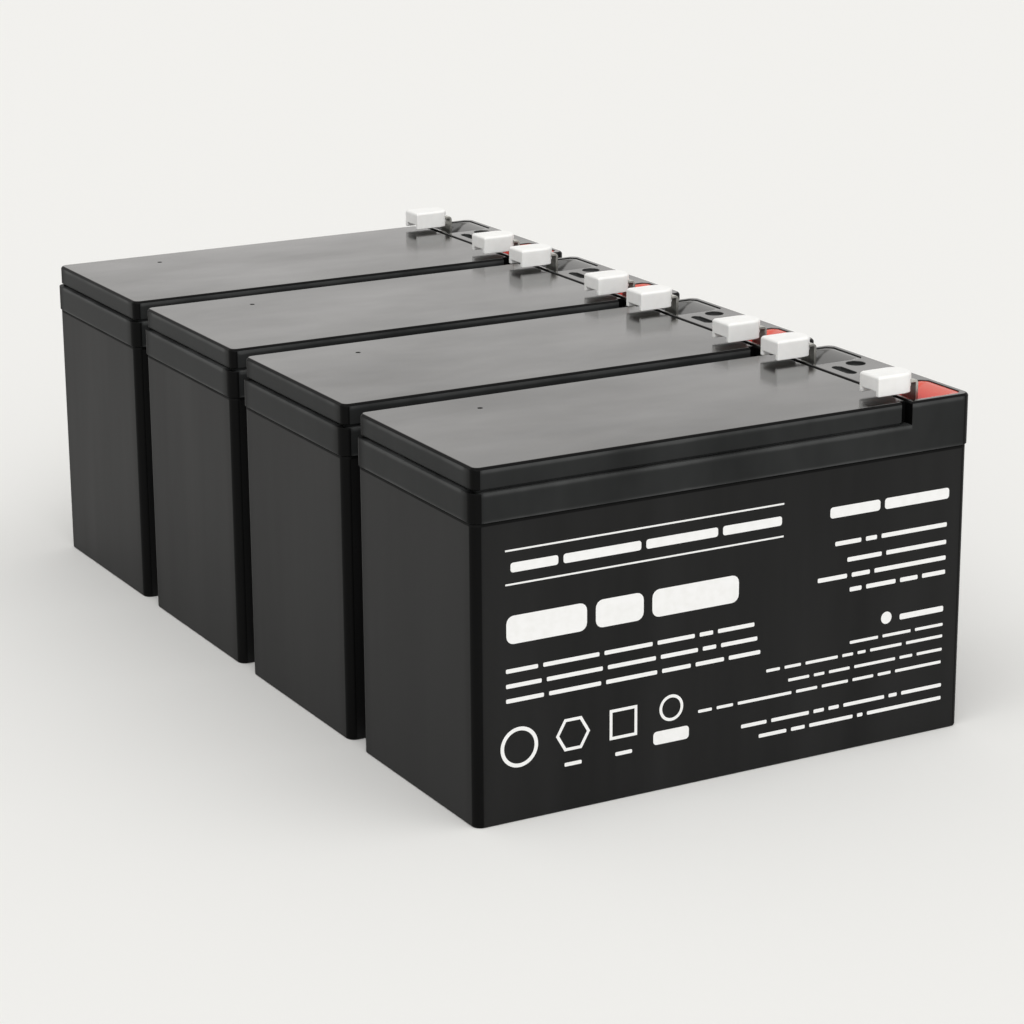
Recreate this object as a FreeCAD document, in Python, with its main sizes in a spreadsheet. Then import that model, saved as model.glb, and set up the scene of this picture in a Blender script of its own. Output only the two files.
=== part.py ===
import FreeCAD, Part
import os
import re
import Sketcher

# Four 12 V sealed lead-acid blocks in a row, as one replaceable battery set.
# Each block is modelled once about its own middle: X runs along the block towards the
# terminals, Y across it away from the printed face, Z up from its base. Linked copies of
# every piece then stand in a row along Y.

doc = FreeCAD.newDocument("ups_battery_cartridge")
dims = doc.addObject("Spreadsheet::Sheet", "dims")

driving_dimensions = [
    ("block_length", "151", "lid, along X"),
    ("block_width", "65", "lid, along Y"),
    ("block_count", "4", "blocks in the row"),
    ("air_gap", "7", "cooling gap between blocks"),
    ("jar_height", "80", "base to the lid's lower edge"),
    ("lid_band_height", "7.7", "lid's lower edge to the seam under the cover"),
    ("cover_height", "6.3", "seam to the flat top"),
    ("corner_radius", "3", "lid's upright corners"),
    ("top_edge_chamfer", "0.6", "bevel round the flat top"),
    ("lid_overhang", "0.4", "lid stands out past the jar"),
    ("jar_wall", "2.4", "outer walls"),
    ("jar_floor", "2.5", "bottom wall"),
    ("partition_wall", "1.6", "wall between cells"),
    ("cell_column_count", "3", "cells in each of the two rows"),
    ("tongue_height", "3", "jar's rim inside the lid's groove"),
    ("tongue_setback", "1.2", "jar's face to the tongue"),
    ("groove_clearance", "0.1", "glue gap each side of the tongue"),
    ("groove_wall", "1.2", "lid's inner wall beside the groove"),
    ("lid_roof", "2.2", "lid's wall above the cells"),
    ("tray_depth", "1.5", "shallow tray under the cover"),
    ("tray_inset", "1.7", "cover's edge to the tray's edge"),
    ("terminal_block_length", "19.7", "raised end that carries the terminals"),
    ("cover_joint", "0.4", "gap between cover and raised end"),
    ("cover_inset", "0.8", "cover stands back from the lid"),
    ("cover_wall", "2.8", "cover's edge to its hollow underside"),
    ("cover_roof", "1.5", "cover's top wall"),
    ("shadow_gap_height", "0.7", "dark line under the cover"),
    ("shadow_gap_depth", "0.9", "in from the cover's edge"),
    ("lip_depth", "1.2", "cover's lip inside the tray"),
    ("lip_clearance", "0.1", "lip to the tray's sides"),
    ("notch_length", "2.3", "pry notch at the cover's end"),
    ("notch_depth", "1.6", "in from the cover's long edge"),
    ("vent_hole_radius", "0.7", "gas outlet, to its corners"),
    ("vent_hole_from_end", "30.5", "from the plain short end"),
    ("vent_hole_from_middle", "19.6", "from the block's middle line"),
    ("chimney_radius", "4", "valve seat on the lid, to its corners"),
    ("chimney_bore_radius", "1.8", "cell's gas passage, to its corners"),
    ("chimney_height", "4.5", "above the tray's floor"),
    ("chimney_setback", "9", "cell's middle to its chimney, along X"),
    ("valve_wall", "1.2", "rubber cap over the chimney"),
    ("valve_roof", "1.2", "rubber over the bore"),
    ("valve_lift", "0.5", "valve's rim above the tray's floor"),
    ("well_wall", "2", "terminal well to the lid's outer faces"),
    ("well_joint_wall", "1.2", "terminal well to the cover joint"),
    ("well_width", "16.5", "along Y"),
    ("well_corner_chamfer", "1.5", "cut corner of a well"),
    ("round_recess_radius", "2.7", "moulded dot beside the negative well"),
    ("round_recess_from_end", "7.6", "from the terminals' short end"),
    ("slot_recess_length", "9.5", "moulded slot near the middle, along Y"),
    ("slot_recess_width", "3", "along X"),
    ("slot_recess_from_end", "14.8", "from the terminals' short end"),
    ("slot_recess_from_middle", "5.5", "from the block's middle line"),
    ("slot_end_chamfer", "1", "cut corner of the slot"),
    ("recess_depth", "1.2", "of both moulded recesses"),
    ("recess_land", "1", "well to the round recess"),
    ("positive_plate_thickness", "3.3", "grid and paste"),
    ("negative_plate_thickness", "2.3", "grid and paste"),
    ("positive_plate_count", "3", "in each cell, with one more negative plate"),
    ("plate_side_clearance", "1.5", "plate to the cell's end walls"),
    ("stack_clearance", "0.1", "plate pack to the cell's side walls"),
    ("mat_overhang", "1", "glass mat past the plate, all round"),
    ("lug_width", "7", "at the plate's corner"),
    ("lug_height", "5", "plate's top to its strap"),
    ("strap_thickness", "4.5", "cast lead bar over the lugs"),
    ("strap_margin", "0.5", "strap past the lugs"),
    ("strap_end_gap", "1", "strap to the cell's side walls"),
    ("bridge_width", "8", "lead through the partition"),
    ("headroom", "5", "strap to the jar's top"),
    ("pole_radius", "3.4", "lead pole up into the well, to its corners"),
    ("pole_clearance", "0.3", "pole to its hole in the lid"),
    ("pole_rise", "1.2", "pole above the well's floor"),
    ("terminal_from_side", "8.9", "tab's middle to the lid's long face"),
    ("riser_from_end", "14.5", "tab's upright to the short end"),
    ("tab_width", "6.35", "standard push-on blade"),
    ("tab_thickness", "0.8", "standard push-on blade"),
    ("blade_length", "12", "tab's upright to the blade's tip"),
    ("blade_rise", "4.3", "blade's top above the flat top"),
    ("bend_radius", "0.4", "inside of the bend at the blade"),
    ("tip_chamfer", "1.2", "blade's two front corners"),
    ("seal_drop", "0.3", "resin below the flat top"),
    ("seal_rim", "1.1", "resin along the well's walls"),
    ("trough_depth", "3.4", "deepest part of the resin's trough"),
    ("ramp_start", "1.2", "tab's upright to the foot of the ramp"),
    ("cap_clearance", "0.05", "cap to the blade"),
    ("cap_side_wall", "1.15", "beside the blade"),
    ("cap_face_wall", "2.3", "above and below the blade"),
    ("cap_end_wall", "0.9", "past the blade's tip"),
    ("cap_corner_radius", "4", "at the upright's end"),
    ("cap_edge_chamfer", "0.5", "bevel round the cap's top"),
    ("cap_skirt_wall", "1.3", "beside the relief under the cap"),
    ("cap_relief", "1.3", "depth of the relief under the cap"),
]
for row, (alias, size, note) in enumerate(driving_dimensions, start=1):
    dims.set(f"A{row}", note)
    dims.set(f"B{row}", size)
    dims.setAlias(f"B{row}", alias)
doc.recompute()
aliases = {alias for alias, size, note in driving_dimensions}
same_place = 1e-4  # two places closer than this, in mm, are one

# Lengths worked out from the driving ones, as text for expressions.
jar_length = "(block_length - 2 * lid_overhang)"
jar_width = "(block_width - 2 * lid_overhang)"
cell_length = f"(({jar_length} - 2 * jar_wall - (cell_column_count - 1) * partition_wall) / cell_column_count)"
cell_width = f"(({jar_width} - 2 * jar_wall - partition_wall) / 2)"
cell_pitch = f"({cell_length} + partition_wall)"
first_cell = f"(-(cell_column_count - 1) / 2 * {cell_pitch})"
cell_middle = f"(({cell_width} + partition_wall) / 2)"
seam_level = "(jar_height + lid_band_height)"
top_level = f"({seam_level} + cover_height)"
tray_level = f"({seam_level} - tray_depth)"
lid_ceiling = f"({tray_level} - lid_roof)"
block_start = "(block_length / 2 - terminal_block_length)"
cover_start = "(-block_length / 2 + cover_inset)"
cover_end = f"({block_start} - cover_joint)"
cover_side = "(block_width / 2 - cover_inset)"
well_start = f"({block_start} + well_joint_wall)"
well_end = "(block_length / 2 - well_wall)"
well_outer = "(block_width / 2 - well_wall)"
well_inner = f"({well_outer} - well_width)"
plate_foot = "(jar_floor + mat_overhang)"
strap_level = "(jar_height - headroom - strap_thickness)"
plate_top = f"({strap_level} - lug_height)"
half_plate = f"({cell_length} / 2 - plate_side_clearance)"
mat_thickness = (f"(({cell_width} - 2 * stack_clearance"
                 " - positive_plate_count * positive_plate_thickness"
                 " - (positive_plate_count + 1) * negative_plate_thickness)"
                 " / (2 * positive_plate_count))")
plate_pitch = f"(positive_plate_thickness + negative_plate_thickness + 2 * {mat_thickness})"
stack_start = f"(-{cell_middle} - {cell_width} / 2 + stack_clearance)"
lug_middle = f"({half_plate} - lug_width / 2)"
strap_half_width = "(lug_width / 2 + strap_margin)"
terminal_line = "(block_width / 2 - terminal_from_side)"
pole_place = f"((cell_column_count - 1) / 2 * {cell_pitch} + {lug_middle})"
pole_top = f"({seam_level} + pole_rise)"
riser_face = "(block_length / 2 - riser_from_end)"
blade_top = f"({top_level} + blade_rise)"
blade_tip = f"({riser_face} - blade_length)"
cap_half_width = "(tab_width / 2 + cap_clearance + cap_side_wall)"
cap_base = f"({blade_top} - tab_thickness - cap_clearance - cap_face_wall)"
cap_top = f"({blade_top} + cap_clearance + cap_face_wall)"
cap_start = f"({blade_tip} - cap_clearance - cap_end_wall)"
cap_end = f"({riser_face} - bend_radius - cap_clearance)"
block_pitch = "(block_width + air_gap)"


def linked(text):
    """The same expression with every alias read from the sheet."""
    return re.sub(r"[a-z_]+", lambda word: ("dims." if word[0] in aliases else "") + word[0], text)


def number(text):
    """The expression's present value in millimetres."""
    return float(dims.evalExpression(linked(text)))


def new_body(name):
    body = doc.addObject("PartDesign::Body", name)
    body.AllowCompound = True
    return body


def datum(body, role):
    """One of the body's own origin planes or axes."""
    return [item for item in body.Origin.OriginFeatures if item.Role == role][0]


def sketch_on(body, name, plane, offset):
    """A sketch on an origin plane, moved along that plane's normal by offset."""
    sketch = body.newObject("Sketcher::SketchObject", name)
    sketch.AttachmentSupport = [(datum(body, plane), "")]
    sketch.MapMode = "FlatFace"
    sketch.setExpression("AttachmentOffset.Base.z", linked(offset))
    return sketch


def place_point(sketch, line, end, across, along):
    """Ties one end of a sketch line to two expressions."""
    for kind, text in (("DistanceX", across), ("DistanceY", along)):
        index = sketch.addConstraint(Sketcher.Constraint(kind, line, end, number(text)))
        sketch.setExpression(f"Constraints[{index}]", linked(text))


def draw_polygon(sketch, corners):
    """A closed outline whose every corner is tied to the sheet."""
    first = sketch.GeometryCount
    points = [FreeCAD.Vector(number(across), number(along), 0) for across, along in corners]
    for index, point in enumerate(points):
        sketch.addGeometry(Part.LineSegment(point, points[(index + 1) % len(points)]), False)
    for index in range(len(points)):
        following = first + (index + 1) % len(points)
        sketch.addConstraint(Sketcher.Constraint("Coincident", first + index, 2, following, 1))
    for index, (across, along) in enumerate(corners):
        place_point(sketch, first + index, 1, across, along)


def draw_rectangle(sketch, left, right, low, high):
    draw_polygon(sketch, [(left, low), (right, low), (right, high), (left, high)])


def draw_round(sketch, across, along, radius, sides=8):
    """Straight sides in place of a circle: small round forms that repeat many times stay light."""
    turns = [(index + 0.5) * 360 / sides for index in range(sides)]
    draw_polygon(sketch, [(f"{across} + {radius} * cos({turn} deg)",
                           f"{along} + {radius} * sin({turn} deg)") for turn in turns])


def pad(body, name, sketch, length, downwards=False, midplane=False):
    feature = body.newObject("PartDesign::Pad", name)
    feature.Profile = sketch
    feature.setExpression("Length", linked(length))
    feature.Reversed = downwards
    feature.Midplane = midplane
    body.Tip = feature
    doc.recompute()
    return feature


def pocket(body, name, sketch, length, upwards=False, midplane=False):
    """Cuts down from the sketch unless upwards is set, and stops if nothing was cut."""
    before = body.Shape.Volume
    feature = body.newObject("PartDesign::Pocket", name)
    feature.Profile = sketch
    feature.setExpression("Length", linked(length))
    feature.Reversed = upwards
    feature.Midplane = midplane
    body.Tip = feature
    doc.recompute()
    if feature.Shape.Volume > before - same_place:
        raise RuntimeError(f"{body.Name}.{name} cuts nothing")
    return feature


def linear_step(body, name, axis, count, spacing):
    step = body.newObject("PartDesign::LinearPattern", name)
    step.Direction = (datum(body, axis), [""])
    step.Mode = "Spacing"
    step.setExpression("Occurrences", linked(count))
    step.setExpression("Offset", linked(spacing))
    return step


def half_turn_step(body, name):
    step = body.newObject("PartDesign::PolarPattern", name)
    step.Axis = (datum(body, "Z_Axis"), [""])
    step.Angle = 360
    step.Occurrences = 2
    return step


def mirror_step(body, name, plane):
    step = body.newObject("PartDesign::Mirrored", name)
    step.MirrorPlane = (datum(body, plane), [""])
    return step


def repeat(body, name, originals, steps):
    """Repeats features by several patterns, one after the other."""
    pattern = body.newObject("PartDesign::MultiTransform", name)
    pattern.Originals = originals
    pattern.Transformations = steps
    body.Tip = pattern
    doc.recompute()
    return pattern


def edges_along(feature, axis, corners):
    """Names of the straight edges along one axis that pass the given places in its cross plane."""
    first, second = [letter for letter in "XYZ" if letter != axis]
    places = [(number(across), number(along)) for across, along in corners]
    names = []
    for index, edge in enumerate(feature.Shape.Edges, start=1):
        box = edge.BoundBox
        across, along = getattr(box, f"{first}Min"), getattr(box, f"{second}Min")
        if max(getattr(box, f"{first}Length"), getattr(box, f"{second}Length")) > same_place:
            continue
        if any(abs(across - x) < same_place and abs(along - y) < same_place for x, y in places):
            names.append(f"Edge{index}")
    return names


def level_face(feature, level):
    """Name of the largest flat face at a level."""
    height = number(level)
    found = []
    for index, face in enumerate(feature.Shape.Faces, start=1):
        box = face.BoundBox
        if box.ZLength < same_place and abs(box.ZMin - height) < same_place:
            found.append((face.Area, f"Face{index}"))
    return [max(found)[1]]


def dress(body, name, kind, base, names, size_property, size):
    """A fillet or chamfer on named edges or faces of the last feature."""
    feature = body.newObject(f"PartDesign::{kind}", name)
    feature.Base = (base, names)
    feature.setExpression(size_property, linked(size))
    body.Tip = feature
    doc.recompute()
    return feature


def corners_of(left, right, low, high):
    return [(left, low), (right, low), (right, high), (left, high)]


def minus(text):
    return f"-{text}"


def jar():
    """Open box with six cells, a stepped rim and rounded corners."""
    body = new_body("jar_moulding")
    half_length, half_width = f"({jar_length} / 2)", f"({jar_width} / 2)"
    outline = sketch_on(body, "jar_outline", "XY_Plane", "0")
    draw_rectangle(outline, minus(half_length), half_length, minus(half_width), half_width)
    walls = pad(body, "jar_block", outline, "jar_height")
    places = corners_of(minus(half_length), half_length, minus(half_width), half_width)
    dress(body, "jar_corners", "Fillet", walls, edges_along(walls, "Z", places),
          "Radius", "corner_radius - lid_overhang")
    rim = sketch_on(body, "tongue_outline", "XY_Plane", "jar_height")
    rim_length, rim_width = f"({half_length} - tongue_setback)", f"({half_width} - tongue_setback)"
    draw_rectangle(rim, minus(rim_length), rim_length, minus(rim_width), rim_width)
    pad(body, "tongue", rim, "tongue_height")
    cell = sketch_on(body, "cell_outline", "XY_Plane", "jar_height + tongue_height")
    draw_rectangle(cell, f"{first_cell} - {cell_length} / 2", f"{first_cell} + {cell_length} / 2",
                   f"-{cell_middle} - {cell_width} / 2", f"-{cell_middle} + {cell_width} / 2")
    hollow = pocket(body, "cell", cell, "jar_height + tongue_height - jar_floor")
    repeat(body, "cells", [hollow], [
        linear_step(body, "cells_in_row", "X_Axis", "cell_column_count", cell_pitch),
        mirror_step(body, "cell_rows", "XZ_Plane")])
    return body


def lid():
    """Overhanging lid: tongue grooves below, cover tray, valve seats and raised end above."""
    body = new_body("lid_moulding")
    half_length, half_width = "(block_length / 2)", "(block_width / 2)"
    outline = sketch_on(body, "lid_outline", "XY_Plane", "jar_height")
    draw_rectangle(outline, minus(half_length), half_length, minus(half_width), half_width)
    pad(body, "lid_band", outline, "lid_band_height")
    raised = sketch_on(body, "raised_end_outline", "XY_Plane", seam_level)
    draw_rectangle(raised, block_start, half_length, minus(half_width), half_width)
    both = pad(body, "raised_end", raised, "cover_height")
    places = corners_of(minus(half_length), half_length, minus(half_width), half_width)
    rounded = dress(body, "lid_corners", "Fillet", both, edges_along(both, "Z", places),
                    "Radius", "corner_radius")
    dress(body, "raised_end_edge", "Chamfer", rounded, level_face(rounded, top_level),
          "Size", "top_edge_chamfer")

    cell = sketch_on(body, "cavity_outline", "XY_Plane", "jar_height")
    step_in = "(groove_clearance + groove_wall)"
    draw_rectangle(cell, f"{first_cell} - {cell_length} / 2 + {step_in}",
                   f"{first_cell} + {cell_length} / 2 - {step_in}",
                   f"-{cell_middle} - {cell_width} / 2 + {step_in}",
                   f"-{cell_middle} + {cell_width} / 2 - {step_in}")
    hollow = pocket(body, "cavity", cell, f"{lid_ceiling} - jar_height", upwards=True)
    repeat(body, "cavities", [hollow], [
        linear_step(body, "cavities_in_row", "X_Axis", "cell_column_count", cell_pitch),
        mirror_step(body, "cavity_rows", "XZ_Plane")])

    groove = sketch_on(body, "groove_outline", "XY_Plane", "jar_height")
    outer_length = f"({jar_length} / 2 - tongue_setback + groove_clearance)"
    outer_width = f"({jar_width} / 2 - tongue_setback + groove_clearance)"
    inner_length = f"({jar_length} / 2 - jar_wall - groove_clearance)"
    inner_width = f"({jar_width} / 2 - jar_wall - groove_clearance)"
    draw_rectangle(groove, minus(outer_length), outer_length, minus(outer_width), outer_width)
    draw_rectangle(groove, minus(inner_length), inner_length, minus(inner_width), inner_width)
    pocket(body, "rim_groove", groove, "tongue_height + groove_clearance", upwards=True)
    half_groove = "(partition_wall / 2 + groove_clearance)"
    lengthwise = sketch_on(body, "lengthwise_groove_outline", "XY_Plane", "jar_height")
    draw_rectangle(lengthwise, minus(inner_length), inner_length, minus(half_groove), half_groove)
    pocket(body, "lengthwise_groove", lengthwise, "tongue_height + groove_clearance", upwards=True)
    crosswise = sketch_on(body, "cross_groove_outline", "XY_Plane", "jar_height")
    wall_place = f"({first_cell} + {cell_pitch} / 2)"
    draw_rectangle(crosswise, f"{wall_place} - {half_groove}", f"{wall_place} + {half_groove}",
                   minus(inner_width), inner_width)
    cross = pocket(body, "cross_groove", crosswise, "tongue_height + groove_clearance", upwards=True)
    repeat(body, "cross_grooves", [cross], [
        linear_step(body, "grooves_in_row", "X_Axis", "cell_column_count - 1", cell_pitch)])

    tray = sketch_on(body, "tray_outline", "XY_Plane", seam_level)
    draw_rectangle(tray, f"{cover_start} + tray_inset", f"{cover_end} - tray_inset",
                   f"-{cover_side} + tray_inset", f"{cover_side} - tray_inset")
    pocket(body, "tray", tray, "tray_depth")
    seat = sketch_on(body, "chimney_outline", "XY_Plane", tray_level)
    draw_round(seat, f"{first_cell} - chimney_setback", minus(cell_middle), "chimney_radius")
    chimney = pad(body, "chimney", seat, "chimney_height")
    repeat(body, "chimneys", [chimney], [
        linear_step(body, "chimneys_in_row", "X_Axis", "cell_column_count", cell_pitch),
        mirror_step(body, "chimney_rows", "XZ_Plane")])
    bore = sketch_on(body, "chimney_bore_outline", "XY_Plane", f"{tray_level} + chimney_height")
    draw_round(bore, f"{first_cell} - chimney_setback", minus(cell_middle), "chimney_bore_radius")
    opening = pocket(body, "chimney_bore", bore, "chimney_height + lid_roof")
    repeat(body, "chimney_bores", [opening], [
        linear_step(body, "bores_in_row", "X_Axis", "cell_column_count", cell_pitch),
        mirror_step(body, "bore_rows", "XZ_Plane")])

    well = sketch_on(body, "well_outline", "XY_Plane", top_level)
    draw_rectangle(well, well_start, well_end, minus(well_outer), minus(well_inner))
    draw_rectangle(well, well_start, well_end, well_inner, well_outer)
    wells = pocket(body, "wells", well, "cover_height")
    places = corners_of(well_start, well_end, minus(well_outer), minus(well_inner))
    places += corners_of(well_start, well_end, well_inner, well_outer)
    dress(body, "well_corners", "Chamfer", wells, edges_along(wells, "Z", places),
          "Size", "well_corner_chamfer")
    hole = sketch_on(body, "pole_hole_outline", "XY_Plane", seam_level)
    draw_round(hole, pole_place, minus(terminal_line), "(pole_radius + pole_clearance)")
    draw_round(hole, pole_place, terminal_line, "(pole_radius + pole_clearance)")
    pocket(body, "pole_holes", hole, f"{seam_level} - {lid_ceiling}")

    dot = sketch_on(body, "round_recess_outline", "XY_Plane", top_level)
    draw_round(dot, "block_length / 2 - round_recess_from_end",
               f"({well_inner} - recess_land - round_recess_radius)", "round_recess_radius", sides=16)
    pocket(body, "round_recess", dot, "recess_depth")
    slot = sketch_on(body, "slot_recess_outline", "XY_Plane", top_level)
    slot_middle = "(block_length / 2 - slot_recess_from_end)"
    slot_left, slot_right = (f"({slot_middle} - slot_recess_width / 2)",
                             f"({slot_middle} + slot_recess_width / 2)")
    slot_low, slot_high = ("(slot_recess_from_middle - slot_recess_length / 2)",
                           "(slot_recess_from_middle + slot_recess_length / 2)")
    draw_rectangle(slot, slot_left, slot_right, slot_low, slot_high)
    sunk = pocket(body, "slot_recess", slot, "recess_depth")
    places = corners_of(slot_left, slot_right, slot_low, slot_high)
    dress(body, "slot_ends", "Chamfer", sunk, edges_along(sunk, "Z", places),
          "Size", "slot_end_chamfer")
    return body


def top_cover():
    """Cover plate with a locating lip, a shadow gap, a vent hole and two pry notches."""
    body = new_body("cover_moulding")
    outline = sketch_on(body, "cover_outline", "XY_Plane", seam_level)
    draw_rectangle(outline, cover_start, cover_end, minus(cover_side), cover_side)
    plate = pad(body, "cover_plate", outline, "cover_height")
    places = [(cover_start, minus(cover_side)), (cover_start, cover_side)]
    rounded = dress(body, "cover_corners", "Fillet", plate, edges_along(plate, "Z", places),
                    "Radius", "corner_radius - cover_inset")
    dress(body, "cover_edge", "Chamfer", rounded, level_face(rounded, top_level),
          "Size", "top_edge_chamfer")
    gap = sketch_on(body, "shadow_gap_outline", "XY_Plane", seam_level)
    draw_rectangle(gap, f"{cover_start} - shadow_gap_depth", f"{cover_end} + shadow_gap_depth",
                   f"-{cover_side} - shadow_gap_depth", f"{cover_side} + shadow_gap_depth")
    draw_rectangle(gap, f"{cover_start} + shadow_gap_depth", f"{cover_end} - shadow_gap_depth",
                   f"-{cover_side} + shadow_gap_depth", f"{cover_side} - shadow_gap_depth")
    pocket(body, "shadow_gap", gap, "shadow_gap_height", upwards=True)
    lip = sketch_on(body, "lip_outline", "XY_Plane", seam_level)
    lip_inset = "(tray_inset + lip_clearance)"
    draw_rectangle(lip, f"{cover_start} + {lip_inset}", f"{cover_end} - {lip_inset}",
                   f"-{cover_side} + {lip_inset}", f"{cover_side} - {lip_inset}")
    pad(body, "lip", lip, "lip_depth", downwards=True)
    inside = sketch_on(body, "cover_inside_outline", "XY_Plane", f"{seam_level} - lip_depth")
    draw_rectangle(inside, f"{cover_start} + cover_wall", f"{cover_end} - cover_wall",
                   f"-{cover_side} + cover_wall", f"{cover_side} - cover_wall")
    pocket(body, "cover_inside", inside, "lip_depth + cover_height - cover_roof", upwards=True)
    vent = sketch_on(body, "vent_outline", "XY_Plane", top_level)
    draw_round(vent, "-block_length / 2 + vent_hole_from_end", "vent_hole_from_middle",
               "vent_hole_radius")
    pocket(body, "vent", vent, "cover_roof")
    notch = sketch_on(body, "notch_outline", "XY_Plane", top_level)
    draw_rectangle(notch, f"{cover_end} - notch_length", f"{cover_end} + cover_joint",
                   "-block_width / 2", f"-{cover_side} + notch_depth")
    cut = pocket(body, "notch", notch, "cover_height")
    repeat(body, "notches", [cut], [mirror_step(body, "notch_sides", "XZ_Plane")])
    return body


def vent_valves():
    """Six rubber caps pushed over the lid's chimneys."""
    body = new_body("valve_mouldings")
    foot = f"({tray_level} + valve_lift)"
    height = "(chimney_height - valve_lift + valve_roof)"
    outside = sketch_on(body, "valve_outline", "XY_Plane", foot)
    draw_round(outside, f"{first_cell} - chimney_setback", minus(cell_middle),
               "(chimney_radius + valve_wall)")
    cup = pad(body, "valve", outside, height)
    inside = sketch_on(body, "valve_inside_outline", "XY_Plane", foot)
    draw_round(inside, f"{first_cell} - chimney_setback", minus(cell_middle), "chimney_radius")
    hollow = pocket(body, "valve_inside", inside, f"{height} - valve_roof", upwards=True)
    repeat(body, "valves", [cup, hollow], [
        linear_step(body, "valves_in_row", "X_Axis", "cell_column_count", cell_pitch),
        mirror_step(body, "valve_rows", "XZ_Plane")])
    return body


def plates(name, thickness, first_face, count, lug_side):
    """One plate with its corner lug, repeated through the pack, the row and the other row.

    The half turn swaps the lugs' ends, so the current runs out along one row of cells and
    back along the other.
    """
    body = new_body(name)
    sketch = sketch_on(body, f"{name}_outline", "XZ_Plane", minus(f"({first_face})"))
    lug_edge, lug_root = (f"({first_cell} + {lug_side} * {half_plate})",
                          f"({first_cell} + {lug_side} * ({half_plate} - lug_width))")
    plain_edge = f"({first_cell} - {lug_side} * {half_plate})"
    draw_polygon(sketch, [
        (plain_edge, plate_foot), (lug_edge, plate_foot), (lug_edge, strap_level),
        (lug_root, strap_level), (lug_root, plate_top), (plain_edge, plate_top)])
    plate = pad(body, f"{name}_plate", sketch, thickness, downwards=True)
    repeat(body, f"{name}_set", [plate], [
        linear_step(body, f"{name}_in_cell", "Y_Axis", count, plate_pitch),
        linear_step(body, f"{name}_in_row", "X_Axis", "cell_column_count", cell_pitch),
        half_turn_step(body, f"{name}_rows")])
    return body


def plate_packs():
    """Each cell's plates and mats joined into one solid, with a ridge of lugs at each end."""
    body = new_body("packs")
    sketch = sketch_on(body, "pack_outline", "XZ_Plane", minus(stack_start))
    left, right = f"({first_cell} - {half_plate})", f"({first_cell} + {half_plate})"
    draw_polygon(sketch, [
        (left, "jar_floor"), (right, "jar_floor"), (right, strap_level),
        (f"{right} - lug_width", strap_level), (f"{right} - lug_width", plate_top),
        (f"{left} + lug_width", plate_top), (f"{left} + lug_width", strap_level),
        (left, strap_level)])
    pack = pad(body, "pack", sketch, f"{cell_width} - 2 * stack_clearance", downwards=True)
    repeat(body, "packs_in_block", [pack], [
        linear_step(body, "packs_in_row", "X_Axis", "cell_column_count", cell_pitch),
        mirror_step(body, "pack_rows", "XZ_Plane")])
    return body


def separators():
    """Absorbent glass mats, one in each space between two plates."""
    body = new_body("mats")
    half_mat = f"({half_plate} + mat_overhang)"
    sketch = sketch_on(body, "mat_outline", "XZ_Plane",
                       minus(f"({stack_start} + negative_plate_thickness)"))
    draw_rectangle(sketch, f"{first_cell} - {half_mat}", f"{first_cell} + {half_mat}",
                   "jar_floor", f"{plate_top} + mat_overhang")
    mat = pad(body, "mat", sketch, mat_thickness, downwards=True)
    second = sketch_on(body, "second_mat_outline", "XZ_Plane",
                       minus(f"({stack_start} + negative_plate_thickness + {mat_thickness}"
                             " + positive_plate_thickness)"))
    draw_rectangle(second, f"{first_cell} - {half_mat}", f"{first_cell} + {half_mat}",
                   "jar_floor", f"{plate_top} + mat_overhang")
    other = pad(body, "second_mat", second, mat_thickness, downwards=True)
    repeat(body, "mat_set", [mat, other], [
        linear_step(body, "mats_in_cell", "Y_Axis", "positive_plate_count", plate_pitch),
        linear_step(body, "mats_in_row", "X_Axis", "cell_column_count", cell_pitch),
        half_turn_step(body, "mat_rows")])
    return body


def cell_straps():
    """Cast lead: links through the cross partitions, one link between rows, two end straps."""
    body = new_body("strap_castings")
    near = f"(-{cell_middle} - {cell_width} / 2 + strap_end_gap)"
    far = f"(-{cell_middle} + {cell_width} / 2 - strap_end_gap)"
    bridge_start = f"({far} - bridge_width)"
    left = f"({first_cell} + {lug_middle})"
    right = f"({first_cell} + {cell_pitch} - {lug_middle})"
    link = sketch_on(body, "link_outline", "XY_Plane", strap_level)
    draw_polygon(link, [
        (f"{left} - {strap_half_width}", near), (f"{left} + {strap_half_width}", near),
        (f"{left} + {strap_half_width}", bridge_start), (f"{right} - {strap_half_width}", bridge_start),
        (f"{right} - {strap_half_width}", near), (f"{right} + {strap_half_width}", near),
        (f"{right} + {strap_half_width}", far), (f"{left} - {strap_half_width}", far)])
    links = pad(body, "link", link, "strap_thickness")
    repeat(body, "links", [links], [
        linear_step(body, "links_in_row", "X_Axis", "cell_column_count - 1", cell_pitch),
        mirror_step(body, "link_rows", "XZ_Plane")])
    turn = sketch_on(body, "turn_outline", "XY_Plane", strap_level)
    middle = f"({first_cell} - {lug_middle})"
    other_near, other_far = f"({minus(near)})", f"({minus(far)})"
    draw_polygon(turn, [
        (f"{middle} - {strap_half_width}", near), (f"{middle} + {strap_half_width}", near),
        (f"{middle} + {strap_half_width}", other_near), (f"{middle} - {strap_half_width}", other_near)])
    pad(body, "turn", turn, "strap_thickness")
    ends = sketch_on(body, "end_strap_outline", "XY_Plane", strap_level)
    draw_rectangle(ends, f"{pole_place} - {strap_half_width}", f"{pole_place} + {strap_half_width}",
                   near, far)
    draw_rectangle(ends, f"{pole_place} - {strap_half_width}", f"{pole_place} + {strap_half_width}",
                   other_far, other_near)
    pad(body, "end_straps", ends, "strap_thickness")
    return body


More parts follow.
